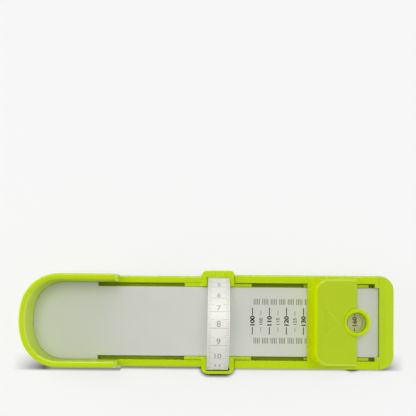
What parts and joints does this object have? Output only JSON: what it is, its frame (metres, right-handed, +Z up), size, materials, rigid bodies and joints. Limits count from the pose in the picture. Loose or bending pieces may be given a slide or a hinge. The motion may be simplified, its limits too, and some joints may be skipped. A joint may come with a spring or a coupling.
{
  "type": "foot measuring device",
  "caption": "Flat foot gauge with a high round heel wall, a sliding toe stop with a reading window over a printed scale, and a sliding carriage with a tape over the instep.",
  "frame": {"origin": "on the floor under the middle of the gauge's outline", "axes": "+X from the heel to the toe end, along the scale; +Y across the plate to the side where the tape is fixed; +Z up, square to the scale plate"},
  "size_m": [0.2162, 0.061, 0.0423],
  "materials": {
    "body_green": "moulded, soft gloss",
    "carriage_green": "moulded, soft gloss",
    "slider_green": "moulded, soft gloss",
    "hood_green": "milky translucent, soft gloss",
    "bezel_green": "glossy",
    "plate_grey": "fine satin, printed",
    "scale_print": "screen print",
    "tape": "coated woven tape",
    "tape_print": "printed",
    "lens": "clear",
    "rubber": "matt",
    "steel": "zinc plated"
  },
  "bodies": {
    "base": {"base_tray": "body_green", "heel_cup": "body_green", "heel_cup_screws": "steel", "end_cap": "body_green", "end_cap_screws": "steel", "scale_plate": "plate_grey", "rubber_feet": "rubber"},
    "toe_slider": {"slider_frame": "slider_green", "toe_hood": "hood_green", "hood_screws": "steel", "runner_near": "slider_green", "runner_far": "slider_green", "friction_spring": "steel", "window_ring": "bezel_green", "window_pane": "lens"},
    "tape_carriage": {"carriage_near_loop": "carriage_green", "carriage_far_loop": "carriage_green", "bridge_upper": "carriage_green", "bridge_lower": "carriage_green", "bridge_screws": "steel", "turning_pin": "steel", "tape_clamp": "carriage_green", "clamp_rivets": "carriage_green", "measuring_tape": "tape"},
    "tape_end": {"tape_tail": "tape", "pull_tab": "carriage_green", "tab_rivet": "steel"}
  },
  "joints": [
    {"name": "toe_slide", "type": "slide", "parent": "base", "child": "toe_slider", "axis": [1, 0, 0], "range_m": [-0.041, 0.003]},
    {"name": "carriage_slide", "type": "slide", "parent": "base", "child": "tape_carriage", "axis": [1, 0, 0], "range_m": [-0.0485, 0]},
    {"name": "tape_pull", "type": "slide", "parent": "tape_carriage", "child": "tape_end", "axis": [0, 1, 0], "range_m": [0, 0.025], "deforming": ["measuring_tape"]}
  ]
}
